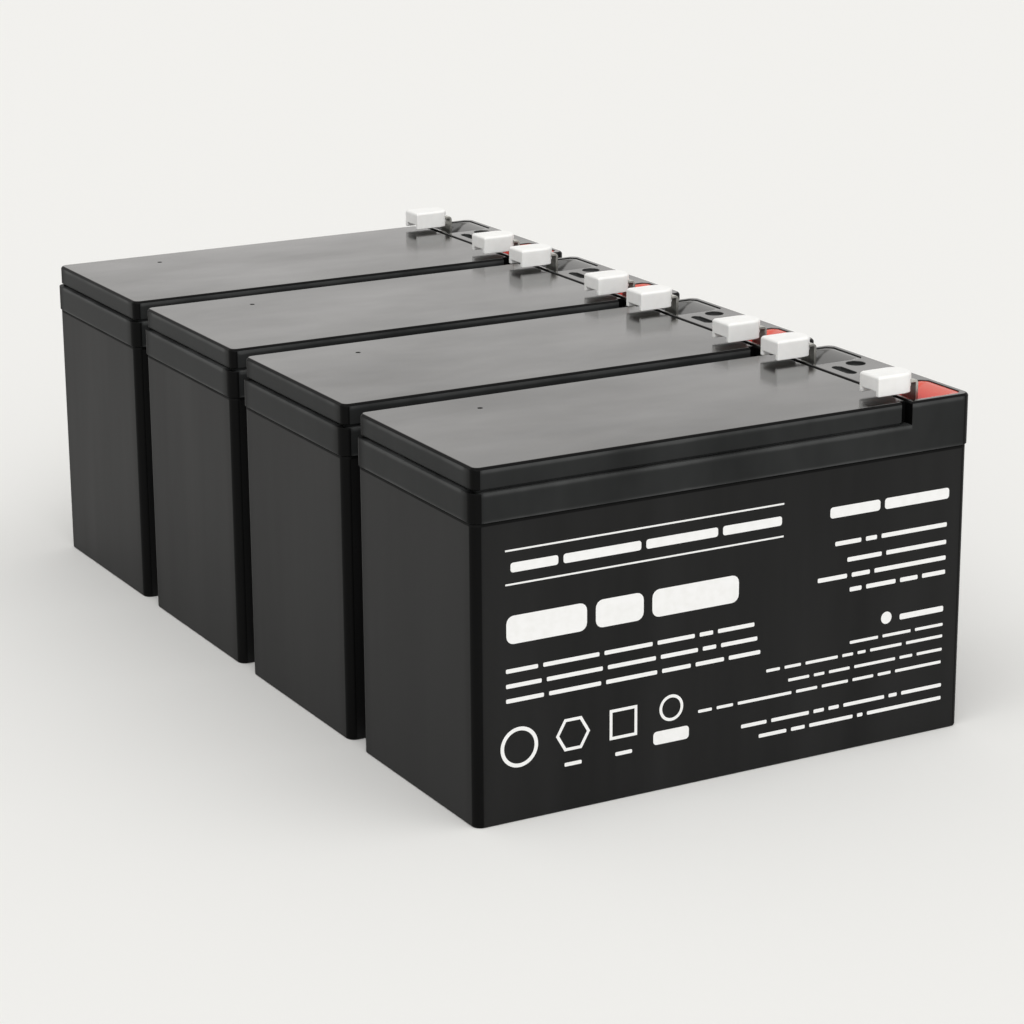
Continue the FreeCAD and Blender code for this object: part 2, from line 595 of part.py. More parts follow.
def terminal_poles():
    """Two lead poles from the end straps up through the lid."""
    body = new_body("pole_castings")
    sketch = sketch_on(body, "pole_outline", "XY_Plane", f"{strap_level} + strap_thickness")
    draw_round(sketch, pole_place, minus(terminal_line), "pole_radius")
    draw_round(sketch, pole_place, terminal_line, "pole_radius")
    pad(body, "poles", sketch, f"{pole_top} - {strap_level} - strap_thickness")
    return body


def terminal_tab(name, line):
    """Bent strip: foot on the pole, upright, then a blade over the cover."""
    body = new_body(name)
    sketch = sketch_on(body, f"{name}_profile", "XZ_Plane", minus(line))
    foot_end = f"({pole_place} + pole_radius)"
    draw_polygon(sketch, [
        (riser_face, pole_top), (foot_end, pole_top), (foot_end, f"{pole_top} + tab_thickness"),
        (f"{riser_face} + tab_thickness", f"{pole_top} + tab_thickness"),
        (f"{riser_face} + tab_thickness", blade_top), (blade_tip, blade_top),
        (blade_tip, f"{blade_top} - tab_thickness"), (riser_face, f"{blade_top} - tab_thickness")])
    strip = pad(body, f"{name}_strip", sketch, "tab_width", midplane=True)

    inner = edges_along(strip, "Y", [(riser_face, f"{blade_top} - tab_thickness")])
    inside_bend = dress(body, f"{name}_inside_bend", "Fillet", strip, inner, "Radius", "bend_radius")
    outer = edges_along(inside_bend, "Y", [(f"{riser_face} + tab_thickness", blade_top)])
    bent = dress(body, f"{name}_outside_bend", "Fillet", inside_bend, outer, "Radius",
                 "bend_radius + tab_thickness")
    tips = edges_along(bent, "Z", [(blade_tip, f"{line} - tab_width / 2"),
                                (blade_tip, f"{line} + tab_width / 2")])
    dress(body, f"{name}_tip", "Chamfer", bent, tips, "Size", "tip_chamfer")
    return body


def well_seal(name, low, high, line):
    """Resin poured into a terminal well: a rim along the walls and a ramp down to the tab."""
    body = new_body(name)
    outline = sketch_on(body, f"{name}_outline", "XY_Plane", seam_level)
    draw_rectangle(outline, well_start, well_end, low, high)
    fill = pad(body, f"{name}_fill", outline, "cover_height - seal_drop")
    places = corners_of(well_start, well_end, low, high)
    dress(body, f"{name}_corners", "Chamfer", fill, edges_along(fill, "Z", places),
          "Size", "well_corner_chamfer")
    surface = f"({top_level} - seal_drop)"
    trough = sketch_on(body, f"{name}_trough_profile", "XZ_Plane", minus(f"(({low} + {high}) / 2)"))
    draw_polygon(trough, [
        (f"{well_start} + seal_rim", surface), (f"{well_start} + seal_rim", f"{surface} - trough_depth"),
        (f"{riser_face} + tab_thickness + ramp_start", f"{surface} - trough_depth"),
        (f"{well_end} - seal_rim", surface)])
    pocket(body, f"{name}_trough", trough, "well_width - 2 * seal_rim", midplane=True)
    return body


def tab_cap(name, line):
    """Push-on cover over a blade: closed at the tip, relieved below, and rounded at the
    upright in straight steps of a twelfth of a turn, which keeps eight of them light."""
    body = new_body(name)
    low, high = f"({line} - {cap_half_width})", f"({line} + {cap_half_width})"
    outline = sketch_on(body, f"{name}_outline", "XY_Plane", cap_base)
    turns = (0, 30, 60, 90)
    low_corner = [(f"{cap_end} - cap_corner_radius * (1 - sin({turn} deg))",
                   f"{low} + cap_corner_radius * (1 - cos({turn} deg))") for turn in turns]
    high_corner = [(f"{cap_end} - cap_corner_radius * (1 - cos({turn} deg))",
                    f"{high} - cap_corner_radius * (1 - sin({turn} deg))") for turn in turns]
    draw_polygon(outline, [(cap_start, low), *low_corner, *high_corner, (cap_start, high)])
    block = pad(body, f"{name}_block", outline, f"{cap_top} - {cap_base}")
    dress(body, f"{name}_edge", "Chamfer", block, level_face(block, cap_top),
          "Size", "cap_edge_chamfer")
    sleeve = sketch_on(body, f"{name}_sleeve_outline", "YZ_Plane", cap_end)
    draw_rectangle(sleeve, f"{line} - tab_width / 2 - cap_clearance",
                   f"{line} + tab_width / 2 + cap_clearance",
                   f"{blade_top} - tab_thickness - cap_clearance", f"{blade_top} + cap_clearance")
    pocket(body, f"{name}_sleeve", sleeve, f"{cap_end} - {blade_tip} + cap_clearance")
    relief = sketch_on(body, f"{name}_relief_outline", "XY_Plane", cap_base)
    draw_rectangle(relief, cap_start, cap_end, f"{low} + cap_skirt_wall",
                   f"{high} - cap_skirt_wall")
    pocket(body, f"{name}_relief", relief, "cap_relief", upwards=True)
    return body


def cut_by(name, base, tools):
    """The base with the space of other pieces taken out of it."""
    for index, tool in enumerate(tools, start=1):
        step = doc.addObject("Part::Cut", name if index == len(tools) else f"{name}_step_{index}")
        step.Base = base
        step.Tool = tool
        base = step
    return base


straps = cell_straps()
poles = terminal_poles()
near_line, far_line = minus(terminal_line), terminal_line
positive_tab = terminal_tab("positive_tab", near_line)
negative_tab = terminal_tab("negative_tab", far_line)
pieces = {
    "jar": cut_by("jar", jar(), [straps]),
    "lid": lid(),
    "top_cover": top_cover(),
    "vent_valves": vent_valves(),
    "positive_plates": plates("positive_plates", "positive_plate_thickness",
                              f"{stack_start} + negative_plate_thickness + {mat_thickness}",
                              "positive_plate_count", "1"),
    "negative_plates": plates("negative_plates", "negative_plate_thickness", stack_start,
                              "positive_plate_count + 1", "-1"),
    "separators": separators(),
    "cell_straps": straps,
    "terminal_poles": poles,
    "positive_tab": positive_tab,
    "negative_tab": negative_tab,
    "positive_seal": cut_by("positive_seal",
                            well_seal("positive_fill", minus(well_outer), minus(well_inner), near_line),
                            [positive_tab, poles]),
    "negative_seal": cut_by("negative_seal",
                            well_seal("negative_fill", well_inner, well_outer, far_line),
                            [negative_tab, poles]),
    "positive_cap": tab_cap("positive_cap", near_line),
    "negative_cap": tab_cap("negative_cap", far_line),
}
# The first block has every plate and mat. The others have them joined, so that the row stays light.
stack_names = ("positive_plates", "negative_plates", "separators")
later_pieces = {name: piece for name, piece in pieces.items() if name not in stack_names}
later_pieces["plate_packs"] = plate_packs()
doc.recompute()

# Every block is a set of linked copies, one pitch further along Y than the last.
subparts = []
for number_in_row in range(1, round(number("block_count")) + 1):
    for name, piece in (pieces if number_in_row == 1 else later_pieces).items():
        copy = doc.addObject("App::Link", f"{name}_{number_in_row}")
        copy.LinkedObject = piece
        copy.setExpression("Placement.Base.y",
                           linked(f"({number_in_row} - (block_count + 1) / 2) * {block_pitch}"))
        subparts.append(copy)
doc.recompute()

for item in doc.Objects:
    if "Invalid" in item.State or "Error" in item.State:
        raise RuntimeError(f"{item.Name} failed: {item.State}")
for copy in subparts:
    if copy.Shape.isNull() or not copy.Shape.isValid():
        raise RuntimeError(f"{copy.Label} has no valid shape")

os.makedirs("parts", exist_ok=True)
for copy in subparts:
    copy.Shape.exportStep(f"parts/{copy.Label}.step")
    print(copy.Label, len(copy.Shape.Solids), "solids", round(copy.Shape.Volume), "mm3")
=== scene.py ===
import math

import bmesh
import bpy
import numpy as np
from mathutils import Matrix, Vector


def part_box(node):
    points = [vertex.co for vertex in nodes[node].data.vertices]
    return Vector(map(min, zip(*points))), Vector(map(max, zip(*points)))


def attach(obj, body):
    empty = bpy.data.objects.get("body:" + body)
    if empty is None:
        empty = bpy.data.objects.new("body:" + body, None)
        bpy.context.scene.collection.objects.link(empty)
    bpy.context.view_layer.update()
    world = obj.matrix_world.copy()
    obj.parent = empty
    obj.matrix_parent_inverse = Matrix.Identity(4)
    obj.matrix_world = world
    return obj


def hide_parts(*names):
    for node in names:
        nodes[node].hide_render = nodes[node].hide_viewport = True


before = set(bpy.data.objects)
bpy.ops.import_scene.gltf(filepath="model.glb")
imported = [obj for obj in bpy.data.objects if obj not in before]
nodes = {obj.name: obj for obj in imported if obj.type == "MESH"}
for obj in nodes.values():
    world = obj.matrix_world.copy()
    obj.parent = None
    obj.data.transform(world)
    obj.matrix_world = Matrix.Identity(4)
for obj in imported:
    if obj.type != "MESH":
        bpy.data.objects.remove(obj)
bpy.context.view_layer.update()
scene = bpy.context.scene
mm = 0.001

blockCount = sum(name.startswith("jar_") for name in nodes)
blockNumbers = range(1, blockCount + 1)
blockLow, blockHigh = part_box("lid_1")
blockSize = blockHigh - blockLow
blockMiddle = (blockLow + blockHigh) / 2
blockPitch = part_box("lid_2")[0].y - blockLow.y
print("frame loaded:", len(nodes), "nodes in", blockCount, "blocks")


def linearColour(text):
    # sRGB hex to linear: a power curve above the straight foot of the sRGB transfer curve
    values = [int(text[place:place + 2], 16) / 255 for place in (1, 3, 5)]
    return [v / 12.92 if v <= 0.04045 else ((v + 0.055) / 1.055) ** 2.4 for v in values] + [1.0]


def addNode(tree, kind, inputs=None, stops=(), **settings):
    # An input is a constant, another node's output, or a node, which stands for its first output.
    # Stops are a colour ramp's places and sRGB hex colours.
    node = tree.nodes.new(kind)
    for name, value in settings.items():
        setattr(node, name, value)
    for socket, value in (inputs or {}).items():
        if isinstance(value, bpy.types.Node):
            value = value.outputs[0]
        if isinstance(value, bpy.types.NodeSocket):
            tree.links.new(value, node.inputs[socket])
        else:
            node.inputs[socket].default_value = value
    elements = node.color_ramp.elements if stops else []
    while len(elements) < len(stops):
        elements.new(0.5)
    for element, (place, colour) in zip(elements, stops):
        element.position = place
        element.color = linearColour(colour)
    return node


def makeMaterial(name, recipe, look):
    # a recipe adds its patterns to the tree and returns the shader's inputs
    material = bpy.data.materials.new(name)
    material.use_nodes = True
    tree = material.node_tree
    tree.nodes.clear()
    shader = addNode(tree, "ShaderNodeBsdfPrincipled", recipe(tree, look))
    addNode(tree, "ShaderNodeOutputMaterial", {"Surface": shader})
    return material


noiseSpan = (0.3, 0.7)                           # most of a noise pattern's values lie between these
# how strongly each plastic bends light; the skin is the polished outermost film of the flat tops
refraction = {"abs": 1.53, "skin": 1.5, "epoxy": 1.55, "polypropylene": 1.49}
# painted shade: the black ABS is drawn darker towards the upright corners, standing for the shade round
# them
cornerShadeFade = {
    "endReach": 7.0, "sideReach": 3.6,           # mm from the upright corner to the plain face
    "start": 0.35,                               # share of that reach which stays darkest
}


def twoTones(look, span=noiseSpan):
    return [(span[0], look["dark"]), (span[1], look["light"])]


def fromCorners(tree, coordinates, fade):
    # 0 near a block's upright corners to 1 on its plain faces: the greater of the distances in from
    # the end and from the side, as shares of their reaches, through a smooth step. It repeats along Y.
    place = addNode(tree, "ShaderNodeSeparateXYZ", {"Vector": coordinates}).outputs
    beside = addNode(tree, "ShaderNodeMath", {0: place["Y"], 1: blockMiddle.y}, operation="SUBTRACT")
    repeated = addNode(tree, "ShaderNodeMath", {0: beside, 1: blockPitch / 2, 2: -blockPitch / 2},
                       operation="WRAP")
    shares = []
    for source, half, reach in [(place["X"], blockSize.x / 2, fade["sideReach"]),
                                (repeated, blockSize.y / 2, fade["endReach"])]:
        outward = addNode(tree, "ShaderNodeMath", {0: source}, operation="ABSOLUTE")
        shares.append(addNode(tree, "ShaderNodeMapRange",
                              {"Value": outward, "From Min": half, "From Max": half - reach * mm}))
    greater = addNode(tree, "ShaderNodeMath", {0: shares[0], 1: shares[1]}, operation="MAXIMUM")
    return addNode(tree, "ShaderNodeMapRange", {"Value": greater, "From Min": fade["start"]},
                   interpolation_type="SMOOTHSTEP")


def nearEdges(tree, coordinates, edges, reach):
    # 1 on a moulding's long level edges, down to 0 at the reach, through a smooth step. An edge is its
    # height and its end along the block; the distance to it is the greater of those up and past the end.
    place = addNode(tree, "ShaderNodeSeparateXYZ", {"Vector": coordinates}).outputs
    distances = []
    for level, end in edges:
        above = addNode(tree, "ShaderNodeMath", {0: place["Z"], 1: level * mm}, operation="SUBTRACT")
        away = addNode(tree, "ShaderNodeMath", {0: above}, operation="ABSOLUTE")
        past = addNode(tree, "ShaderNodeMath", {0: place["X"], 1: end * mm}, operation="SUBTRACT")
        distances.append(addNode(tree, "ShaderNodeMath", {0: away, 1: past}, operation="MAXIMUM"))
    nearest = distances[0]
    for distance in distances[1:]:
        nearest = addNode(tree, "ShaderNodeMath", {0: nearest, 1: distance}, operation="MINIMUM")
    return addNode(tree, "ShaderNodeMapRange",
                   {"Value": nearest, "From Max": reach * mm, "To Min": 1.0, "To Max": 0.0},
                   interpolation_type="SMOOTHSTEP")


def mouldedAbs(tree, look):
    # Black ABS, injection moulded in a lightly spark-eroded tool: a deep grey-black that only
    # brightens where it is seen at a low angle, with soft flow bands along the moulding's height.
    # Painted shade blackens it towards the upright corners, and a painted highlight makes it paler along
    # the long edges.
    coordinates = addNode(tree, "ShaderNodeTexCoord").outputs["Object"]
    stretched = addNode(tree, "ShaderNodeMapping",
                        {"Vector": coordinates, "Scale": (1, 1, look["bandStretch"])})
    bands = addNode(tree, "ShaderNodeTexNoise",
                    {"Vector": stretched, "Scale": 1 / (look["bandWidth"] * mm), "Detail": 3.0,
                     "Roughness": 0.55})
    grain = addNode(tree, "ShaderNodeTexNoise",
                    {"Vector": coordinates, "Scale": 1 / (look["grainSize"] * mm), "Detail": 2.0,
                     "Roughness": 0.6})
    tone, stops = bands, twoTones(look)
    # painted highlight: the tone pales along the moulding's long edges
    if "paintedEdgeHighlight" in look:
        edgeHighlight = nearEdges(tree, coordinates, look["highlightEdges"], look["highlightReach"])
        tone = addNode(tree, "ShaderNodeMath", {0: edgeHighlight, 1: look["highlightShare"], 2: tone},
                       operation="MULTIPLY_ADD")
        stops = stops + [(1.0, look["paintedEdgeHighlight"])]
    # painted shade: the tone darkens towards the upright corners
    if "paintedCornerShade" in look:
        tone = addNode(tree, "ShaderNodeMath", {0: tone, 1: fromCorners(tree, coordinates, cornerShadeFade)},
                       operation="MULTIPLY")
        stops = [(0.0, look["paintedCornerShade"])] + stops
    rough = addNode(tree, "ShaderNodeMapRange",
                    {"Value": bands, "From Min": noiseSpan[0], "From Max": noiseSpan[1],
                     "To Min": look["roughness"] - look["roughSpread"],
                     "To Max": look["roughness"] + look["roughSpread"]})
    relief = addNode(tree, "ShaderNodeBump", {"Height": grain, "Strength": look["grainStrength"],
                                              "Distance": look["grainDepth"] * mm})
    return {"Base Color": addNode(tree, "ShaderNodeValToRGB", {"Fac": tone}, stops),
            "Roughness": rough, "Normal": relief,
            "IOR": refraction["abs"], "Specular IOR Level": look["specular"]}


# the jar's corner tone is painted shade towards its upright corners
jarLook = {
    "dark": "#111111", "light": "#1d1d1d", "paintedCornerShade": "#070707",
    "bandWidth": 16.0, "bandStretch": 0.12,      # mm across a flow band; bands run up the walls
    "grainSize": 0.7, "grainDepth": 0.02,        # real spark grain is 0.1 mm: drawn coarser to show
    "grainStrength": 0.3,
    "roughness": 0.46, "roughSpread": 0.05, "specular": 0.15,
}
# the lid's tones are drawn paler than the jar's, though both are the same black ABS, as painted light on
# the lid band; its corner tone is painted shade and its pale edge tone a painted highlight
lidLook = {
    "dark": "#242525", "light": "#303131", "paintedCornerShade": "#080808", "paintedEdgeHighlight": "#484949",
    # mm up, and mm along to its end, of the edges with a painted highlight: foot of the lid, under its
    # ledge, under the bevel of the flat top
    "highlightEdges": ((80.0, 75.5), (87.3, 55.4), (93.0, 75.5)),
    "highlightReach": 1.1, "highlightShare": 0.45,     # mm from the edge, and how far towards the pale tone
    "bandWidth": 20.0, "bandStretch": 0.6,
    "grainSize": 0.7, "grainDepth": 0.015,
    "grainStrength": 0.25,
    "roughness": 0.4, "roughSpread": 0.04, "specular": 0.05,
}
# the tool's upright corner radii are ground smooth and take no grain; their deeper black, also given to
# the bevel of the flat top, is painted shade
shadedCornerLook = {
    "dark": "#080808", "light": "#0d0d0d",
    "bandWidth": 16.0, "bandStretch": 0.12,
    "grainSize": 0.7, "grainDepth": 0.005,
    "grainStrength": 0.1,
    "roughness": 0.34, "roughSpread": 0.03, "specular": 0.05,
}
# painted shadow under the lid's overhang: a dull line of patchy black along the top of the jar
shadowLineLook = {
    "dark": "#050505", "light": "#0c0c0c",
    "bandWidth": 6.0, "bandStretch": 0.5,
    "grainSize": 0.5, "grainDepth": 0.02,
    "grainStrength": 0.4,
    "roughness": 0.6, "roughSpread": 0.05, "specular": 0.08,
}
# painted shadow, blacker still, on the faces of the joint between cover and raised end, where only shade
# falls
jointShadowLook = dict(shadowLineLook, dark="#040404", light="#080808", roughness=0.7, specular=0.02)
jarPlastic = makeMaterial("satinBlackAbsJar", mouldedAbs, jarLook)
lidPlastic = makeMaterial("satinBlackAbsLid", mouldedAbs, lidLook)
cornerShadePlastic = makeMaterial("blackAbsWithShadedCorners", mouldedAbs, shadedCornerLook)
paintedLidShadow = makeMaterial("paintedShadowUnderLid", mouldedAbs, shadowLineLook)
paintedJointShadow = makeMaterial("paintedShadowInCoverJoint", mouldedAbs, jointShadowLook)

topLook = {
    "dark": "#131211", "light": "#242220",
    "waveSize": 26.0, "waveDepth": 0.05,         # mm, slow sink marks that bend reflections a little
    "waveStrength": 0.5,
    "smearSize": 9.0, "smearStretch": 0.22,      # mm across a wiped streak; streaks run lengthwise
    "smearSpan": (0.35, 0.65),
    "roughSpan": (0.35, 0.75), "roughness": (0.12, 0.2),
    "hazeSize": 30.0, "hazeStretch": 0.5,        # mm, patches where the skin shines more or less
    "hazeSpan": (0.32, 0.68), "skinWeight": (0.12, 0.48), "skinRoughness": 0.12,
}


def polishedAbs(tree, look):
    # Black ABS against a polished tool face: a dark body under a soft mirror skin, so the flat tops
    # show the pale room at a low angle, slightly uneven where the melt shrank.
    coordinates = addNode(tree, "ShaderNodeTexCoord").outputs["Object"]
    waves = addNode(tree, "ShaderNodeTexNoise",
                    {"Vector": coordinates, "Scale": 1 / (look["waveSize"] * mm), "Detail": 1.0,
                     "Roughness": 0.4})
    wiped = addNode(tree, "ShaderNodeMapping",
                    {"Vector": coordinates, "Scale": (look["smearStretch"], 1, 1)})
    smears = addNode(tree, "ShaderNodeTexNoise",
                     {"Vector": wiped, "Scale": 1 / (look["smearSize"] * mm), "Detail": 4.0,
                      "Roughness": 0.6})
    drawn = addNode(tree, "ShaderNodeMapping",
                    {"Vector": coordinates, "Scale": (look["hazeStretch"], 1, 1)})
    haze = addNode(tree, "ShaderNodeTexNoise",
                   {"Vector": drawn, "Scale": 1 / (look["hazeSize"] * mm), "Detail": 3.0,
                    "Roughness": 0.55})
    ranges = []
    for source, before, after in [(smears, look["roughSpan"], look["roughness"]),
                                  (haze, look["hazeSpan"], look["skinWeight"])]:
        ranges.append(addNode(tree, "ShaderNodeMapRange",
                              {"Value": source, "From Min": before[0], "From Max": before[1],
                               "To Min": after[0], "To Max": after[1]}))
    relief = addNode(tree, "ShaderNodeBump", {"Height": waves, "Strength": look["waveStrength"],
                                              "Distance": look["waveDepth"] * mm})
    return {"Base Color": addNode(tree, "ShaderNodeValToRGB", {"Fac": smears},
                                  twoTones(look, look["smearSpan"])),
            "Roughness": ranges[0], "Coat Weight": ranges[1], "Normal": relief,
            "Coat Roughness": look["skinRoughness"],
            "IOR": refraction["abs"], "Coat IOR": refraction["skin"]}


topPlastic = makeMaterial("polishedBlackAbsTop", polishedAbs, topLook)


def pouredResin(tree, look):
    # Epoxy poured into the well and self-levelled: glassy, with a faint cloudiness from the filler,
    # deeper in colour where it is thick and paler on the thin ramp; the darkest tones low in the well
    # and behind and below the tab are painted shade of the well and the cap over it.
    coordinates = addNode(tree, "ShaderNodeTexCoord").outputs["Object"]
    place = addNode(tree, "ShaderNodeSeparateXYZ", {"Vector": coordinates}).outputs
    height = addNode(tree, "ShaderNodeMapRange",
                     {"Value": place["Z"], "From Min": look["deepLevel"], "From Max": look["topLevel"]})
    along = addNode(tree, "ShaderNodeMapRange",
                    {"Value": place["X"], "From Min": look["capShadowTo"] * mm,
                     "From Max": look["capShadowEnd"] * mm, "To Min": look["capShadowShare"], "To Max": 1.0})
    thinAndUnshaded = addNode(tree, "ShaderNodeMath", {0: height, 1: along}, operation="MULTIPLY")
    clouds = addNode(tree, "ShaderNodeTexNoise",
                     {"Vector": coordinates, "Scale": 1 / (look["cloudSize"] * mm), "Detail": 3.0})
    tone = addNode(tree, "ShaderNodeMath", {0: clouds, 1: look["cloudShare"], 2: thinAndUnshaded},
                   operation="MULTIPLY_ADD")
    relief = addNode(tree, "ShaderNodeBump", {"Height": clouds, "Strength": look["rippleStrength"],
                                              "Distance": look["rippleDepth"] * mm})
    return {"Base Color": addNode(tree, "ShaderNodeValToRGB", {"Fac": tone}, look["stops"]),
            "Normal": relief, "IOR": refraction["epoxy"], "Roughness": look["roughness"],
            "Specular IOR Level": look["specular"],
            "Coat Weight": look["skinWeight"], "Coat Roughness": look["skinRoughness"]}


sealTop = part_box("positive_seal_1")[1].z
resinDepth = 3.4                                 # mm, from the well's rim down to the lowest resin
redLook = {
    "deepLevel": sealTop - resinDepth * mm, "topLevel": sealTop,
    "capShadowTo": 60.4, "capShadowEnd": 63.0, "capShadowShare": 0.05,     # mm along the block; the tab is at 61: painted shade of the cap, full up to the first place, gone by the second, where full shade keeps this share of the tone
    "cloudSize": 5.0, "cloudShare": 0.3, "rippleDepth": 0.1, "rippleStrength": 0.3,
    "roughness": 0.2, "specular": 0.3, "skinWeight": 0.2, "skinRoughness": 0.08,
    "stops": [(0.05, "#4a0100"), (0.3, "#a00c05"), (0.6, "#d63c2e"), (1.0, "#d95a49")],
}
# the black pour has little colour of its own, so its glassy skin shows the room more
blackLook = dict(redLook, specular=0.5, skinWeight=0.7,
                 stops=[(0.1, "#0c0c0c"), (0.5, "#1e1e1d"), (1.0, "#343432")])
redResin = makeMaterial("redEpoxyResin", pouredResin, redLook)
blackResin = makeMaterial("blackEpoxyResin", pouredResin, blackLook)

whiteLook = {
    "dark": "#f2f2f0", "light": "#f8f8f6",
    "mottleSize": 3.0, "mottleDepth": 0.05,      # mm, the slight sink of a thick small moulding
    "mottleStrength": 0.2,
    "roughness": 0.5, "glow": 0.15, "glowReach": 0.8, "glowTint": (1.0, 0.95, 0.9),
}


def mouldedWhite(tree, look):
    # White polypropylene: soft, slightly waxy and a little see-through at thin edges.
    coordinates = addNode(tree, "ShaderNodeTexCoord").outputs["Object"]
    mottle = addNode(tree, "ShaderNodeTexNoise",
                     {"Vector": coordinates, "Scale": 1 / (look["mottleSize"] * mm), "Detail": 3.0})
    relief = addNode(tree, "ShaderNodeBump", {"Height": mottle, "Strength": look["mottleStrength"],
                                              "Distance": look["mottleDepth"] * mm})
    return {"Base Color": addNode(tree, "ShaderNodeValToRGB", {"Fac": mottle}, twoTones(look)),
            "Normal": relief, "IOR": refraction["polypropylene"], "Roughness": look["roughness"],
            "Subsurface Weight": look["glow"], "Subsurface Scale": look["glowReach"] * mm,
            "Subsurface Radius": look["glowTint"]}


tinLook = {
    "dark": "#a9a9a4", "light": "#c9c8c2",
    "lineSpacing": 0.25, "lineDepth": 0.01,      # mm; real rolling lines are 0.02 apart: drawn coarser
    "lineStretch": 0.08, "lineStrength": 0.25, "roughness": (0.25, 0.42),
}


def tinnedBrass(tree, look):
    # Brass strip with dull tin plating: soft silver with fine rolling lines along the strip.
    coordinates = addNode(tree, "ShaderNodeTexCoord").outputs["Object"]
    rolled = addNode(tree, "ShaderNodeMapping",
                     {"Vector": coordinates, "Scale": (look["lineStretch"], 1, look["lineStretch"])})
    lines = addNode(tree, "ShaderNodeTexNoise",
                    {"Vector": rolled, "Scale": 1 / (look["lineSpacing"] * mm), "Detail": 3.0})
    rough = addNode(tree, "ShaderNodeMapRange", {"Value": lines, "To Min": look["roughness"][0],
                                                 "To Max": look["roughness"][1]})
    relief = addNode(tree, "ShaderNodeBump", {"Height": lines, "Strength": look["lineStrength"],
                                              "Distance": look["lineDepth"] * mm})
    return {"Base Color": addNode(tree, "ShaderNodeValToRGB", {"Fac": lines}, twoTones(look)),
            "Roughness": rough, "Normal": relief, "Metallic": 1.0}


inkLook = {
    "dark": "#f5f5f3", "light": "#fafaf9",       # where the film is thin and where it is full
    "patchSize": 2.5,                            # mm, patches where the pad left less ink
    "patchSpan": (0.3, 0.6),
    "roughness": 0.62, "specular": 0.3,
}


def padPrintInk(tree, look):
    # White two-part ink from a silicone pad: a dead flat, even film, a touch greyer where it is thin.
    coordinates = addNode(tree, "ShaderNodeTexCoord").outputs["Object"]
    patches = addNode(tree, "ShaderNodeTexNoise",
                      {"Vector": coordinates, "Scale": 1 / (look["patchSize"] * mm), "Detail": 2.0})
    return {"Base Color": addNode(tree, "ShaderNodeValToRGB", {"Fac": patches},
                                  twoTones(look, look["patchSpan"])),
            "Roughness": look["roughness"], "Specular IOR Level": look["specular"]}


# pieces inside the block: two tones and mm across the mottle, with a relief alike on all of them
innerRelief = {"strength": 0.5, "depth": 0.05}   # depth in mm
innerLooks = {
    "castLead": {"dark": "#5c5f63", "light": "#8b8e92", "size": 4.0,
                 "roughness": 0.5, "metallic": 1.0},
    "leadDioxidePaste": {"dark": "#2e1a10", "light": "#4a2c1c", "size": 2.0,
                         "roughness": 0.85, "metallic": 0.0},
    "spongeLeadPaste": {"dark": "#55585c", "light": "#777a7e", "size": 2.0,
                        "roughness": 0.8, "metallic": 0.0},
    "absorbentGlassMat": {"dark": "#d8d8d2", "light": "#f0f0ec", "size": 0.8,
                          "roughness": 0.95, "metallic": 0.0},
    "blackEpdmRubber": {"dark": "#141414", "light": "#1e1e1e", "size": 1.5,
                        "roughness": 0.75, "metallic": 0.0},
}


def mottledSolid(tree, look):
    # Cast lead, pasted plates, glass mat and rubber: a mottle of two tones with a matching relief.
    coordinates = addNode(tree, "ShaderNodeTexCoord").outputs["Object"]
    mottle = addNode(tree, "ShaderNodeTexNoise",
                     {"Vector": coordinates, "Scale": 1 / (look["size"] * mm), "Detail": 4.0})
    relief = addNode(tree, "ShaderNodeBump", {"Height": mottle, "Strength": innerRelief["strength"],
                                              "Distance": innerRelief["depth"] * mm})
    return {"Base Color": addNode(tree, "ShaderNodeValToRGB", {"Fac": mottle}, twoTones(look)),
            "Normal": relief, "Roughness": look["roughness"], "Metallic": look["metallic"]}


whitePlastic = makeMaterial("whitePolypropylene", mouldedWhite, whiteLook)
tinnedTab = makeMaterial("tinPlatedBrass", tinnedBrass, tinLook)
printInk = makeMaterial("whitePadPrintInk", padPrintInk, inkLook)
inner = {name: makeMaterial(name, mottledSolid, look) for name, look in innerLooks.items()}

nodeMaterials = {
    "jar": jarPlastic, "lid": lidPlastic, "top_cover": lidPlastic,
    "vent_valves": inner["blackEpdmRubber"], "positive_plates": inner["leadDioxidePaste"],
    "negative_plates": inner["spongeLeadPaste"], "separators": inner["absorbentGlassMat"],
    "plate_packs": inner["spongeLeadPaste"], "cell_straps": inner["castLead"],
    "terminal_poles": inner["castLead"], "positive_tab": tinnedTab, "negative_tab": tinnedTab,
    "positive_seal": redResin, "negative_seal": blackResin,
    "positive_cap": whitePlastic, "negative_cap": whitePlastic,
}


def giveMaterial(item, material):
    item.data.materials.clear()
    item.data.materials.append(material)
    for slot in item.material_slots:
        slot.link = "OBJECT"
        slot.material = material


for name, item in nodes.items():
    giveMaterial(item, nodeMaterials[name.rsplit("_", 1)[0]])
print("materials on every node")

